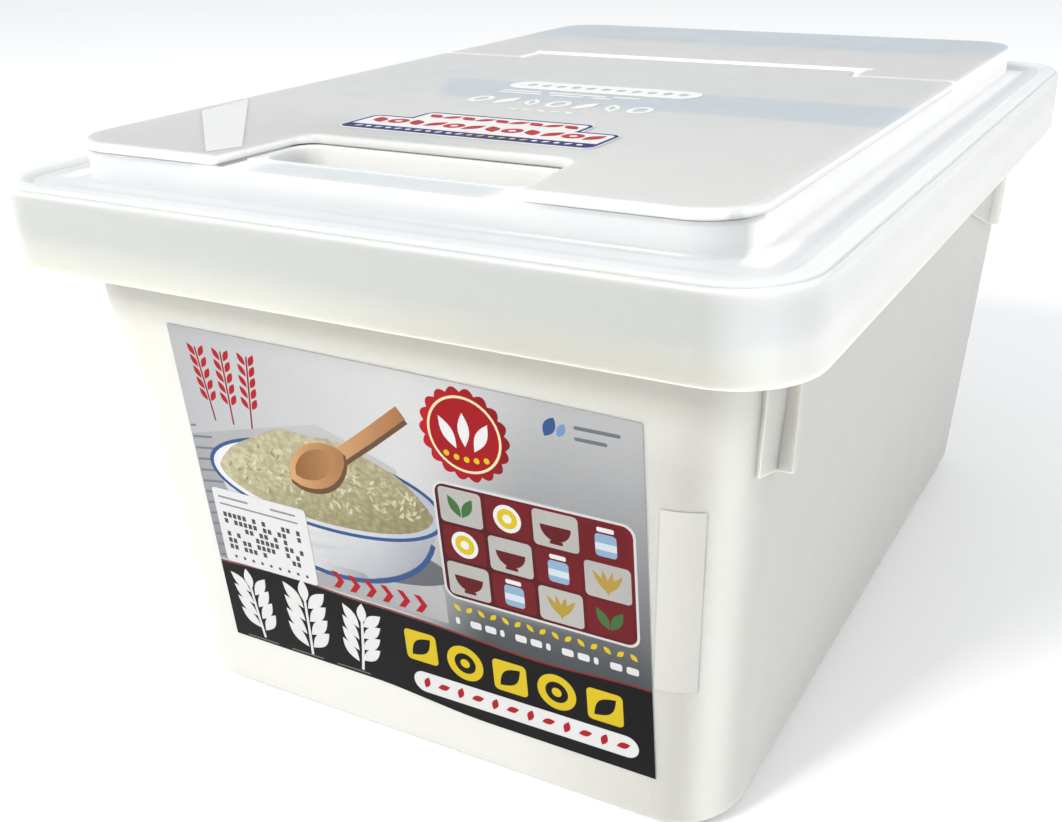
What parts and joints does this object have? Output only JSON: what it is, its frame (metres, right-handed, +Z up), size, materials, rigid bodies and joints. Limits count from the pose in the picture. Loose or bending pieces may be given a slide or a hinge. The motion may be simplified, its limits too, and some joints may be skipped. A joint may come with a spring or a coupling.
{
  "type": "lidded rice bin",
  "caption": "Tapered lidded bin for dry rice that stands in a kitchen drawer, with a lift-off lid, a hinged flap over the filling opening, a seal ring and a loose cup.",
  "frame": {"origin": "centre of the overall box on the face that the bin stands on", "axes": "+Z up, -Y towards the labelled front, +X to the right seen from the front"},
  "size_m": [0.228, 0.323, 0.1722],
  "materials": {
    "tub": "milky natural polypropylene, fine matte texture",
    "lid": "translucent polypropylene, satin",
    "seal": "soft matte elastomer",
    "label": "printed film, semi-gloss",
    "sticker": "printed white film",
    "tape": "clear adhesive tape",
    "cup": "translucent polypropylene",
    "cup_print": "red printed film"
  },
  "bodies": {
    "bin": {"bin_body": "tub", "front_label": "label", "data_sticker": "sticker", "side_tape": "tape"},
    "lid": {"lid_frame": "lid", "gasket": "seal"},
    "flap": {"lid_flap": "lid", "flap_sticker": "sticker", "tape_strip": "tape"},
    "cup": {"measuring_cup": "cup", "cup_label": "cup_print"}
  },
  "joints": [
    {"name": "lid_lift", "type": "slide", "parent": "bin", "child": "lid", "axis": [0, 0, 1], "range_m": [0, 0.12]},
    {"name": "flap_hinge", "type": "hinge", "parent": "lid", "child": "flap", "pos_m": [0, 0.046, 0.1665], "axis": [-1, 0, 0], "range_deg": [0, 105]},
    {"name": "cup_lift", "type": "slide", "parent": "bin", "child": "cup", "axis": [0, 0, 1], "range_m": [0, 0.078]}
  ]
}
